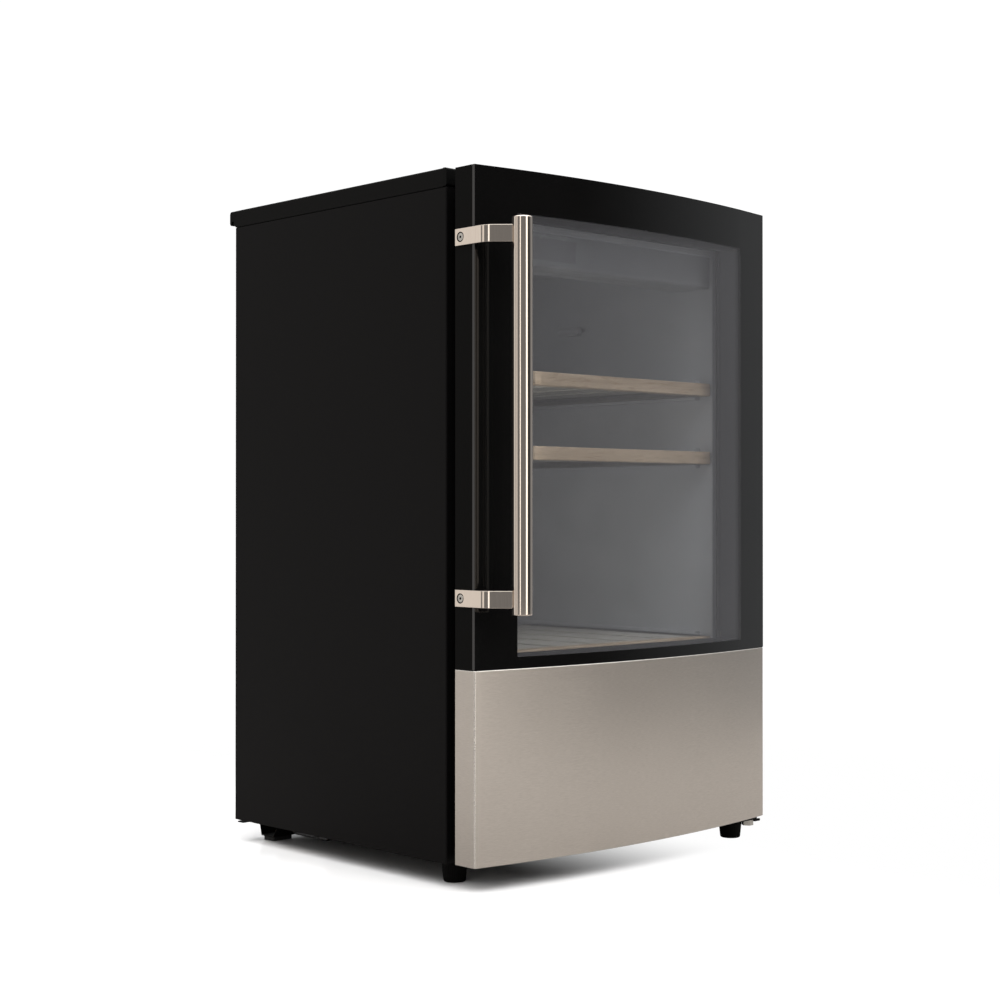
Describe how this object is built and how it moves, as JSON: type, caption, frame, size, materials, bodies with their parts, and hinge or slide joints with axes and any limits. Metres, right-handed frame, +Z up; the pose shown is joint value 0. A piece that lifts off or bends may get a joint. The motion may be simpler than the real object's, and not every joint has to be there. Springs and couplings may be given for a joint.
{
  "type": "under-counter fridge",
  "caption": "Under-counter drinks fridge with a hinged curved glass door over a steel lower panel, tube handle, wooden slatted shelves and levelling feet.",
  "frame": {"origin": "on the floor, under the middle of the whole envelope", "axes": "+X to the right seen from the front, +Y to the back, +Z up; the door faces -Y"},
  "size_m": [0.539, 0.5544, 0.8523],
  "materials": {
    "cabinet_steel": "satin",
    "worktop_board": "satin",
    "black_trim": "satin",
    "zinc_steel": "satin",
    "black_steel": "satin",
    "insulation": "matte",
    "liner_plastic": "satin",
    "black_rubber": "matte",
    "copper": "satin",
    "black_plastic": "satin",
    "tray_plastic": "matte",
    "aluminium": "satin",
    "circuit_board": "satin",
    "display_gloss": "gloss",
    "lamp_plastic": "satin",
    "beech": "satin",
    "front_glass": "gloss",
    "inner_glass": "gloss",
    "stainless": "satin",
    "handle_steel": "satin",
    "door_plastic": "satin"
  },
  "bodies": {
    "cabinet": {"side_panel_left": "cabinet_steel", "side_panel_right": "cabinet_steel", "rear_panel": "zinc_steel", "worktop": "worktop_board", "worktop_front_trim": "black_trim", "worktop_rear_trim": "black_trim", "insulation_foam": "insulation", "inner_liner": "liner_plastic", "base_plate": "black_steel", "foot_nuts": "zinc_steel", "rear_feet": "black_rubber", "compressor_tray": "black_steel", "compressor": "black_steel", "compressor_mounts": "black_rubber", "compressor_terminal_cover": "black_plastic", "filter_drier": "copper", "refrigerant_pipes": "copper", "condenser_tube": "black_steel", "condenser_wires": "black_steel", "condenser_brackets": "black_plastic", "drip_tray": "tray_plastic", "mains_inlet": "black_plastic", "evaporator_plate": "aluminium", "air_duct_cover": "liner_plastic", "fan_housing": "black_plastic", "control_housing": "liner_plastic", "display_window": "display_gloss", "control_board": "circuit_board", "lamp_cover": "lamp_plastic", "temperature_sensor": "tray_plastic", "shelf_runners": "liner_plastic", "lower_hinge_plate": "black_steel", "upper_hinge_plate": "black_steel", "hinge_pins": "zinc_steel", "hinge_screws": "zinc_steel"},
    "door": {"door_frame": "door_plastic", "door_glass_outer": "front_glass", "door_glass_inner": "inner_glass", "glazing_spacer": "black_trim", "glazing_bead": "black_trim", "door_lower_panel": "stainless", "door_lower_foam": "insulation", "door_gasket": "black_rubber", "hinge_bushes": "tray_plastic", "handle_tube": "handle_steel", "handle_bracket_lower": "handle_steel", "handle_bracket_upper": "handle_steel", "handle_screws": "zinc_steel"},
    "fan": {"fan_rotor": "black_plastic"},
    "foot_left": {"foot_left": "black_plastic"},
    "foot_right": {"foot_right": "black_plastic"},
    "shelf_bottom": {"shelf_bottom_front_bar": "beech", "shelf_bottom_slats": "beech", "shelf_bottom_side_rails": "zinc_steel"},
    "shelf_middle": {"shelf_middle_front_bar": "beech", "shelf_middle_slats": "beech", "shelf_middle_side_rails": "zinc_steel"},
    "shelf_top": {"shelf_top_front_bar": "beech", "shelf_top_slats": "beech", "shelf_top_side_rails": "zinc_steel"}
  },
  "joints": [
    {"name": "door_hinge", "type": "hinge", "parent": "cabinet", "child": "door", "pos_m": [0.25, -0.2018, 0.4393], "axis": [0, 0, 1], "range_deg": [0, 110]},
    {"name": "fan_spin", "type": "hinge", "parent": "cabinet", "child": "fan", "pos_m": [0, 0.2092, 0.5743], "axis": [0, 1, 0], "continuous": true},
    {"name": "shelf_bottom_slide", "type": "slide", "parent": "cabinet", "child": "shelf_bottom", "axis": [0, -1, 0], "range_m": [0, 0.012]},
    {"name": "shelf_middle_slide", "type": "slide", "parent": "cabinet", "child": "shelf_middle", "axis": [0, -1, 0], "range_m": [0, 0.012]},
    {"name": "shelf_top_slide", "type": "slide", "parent": "cabinet", "child": "shelf_top", "axis": [0, -1, 0], "range_m": [0, 0.012]},
    {"name": "foot_left_screw", "type": "slide", "parent": "cabinet", "child": "foot_left", "axis": [0, 0, -1], "range_m": [0, 0.008]},
    {"name": "foot_right_screw", "type": "slide", "parent": "cabinet", "child": "foot_right", "axis": [0, 0, -1], "range_m": [0, 0.008]}
  ]
}
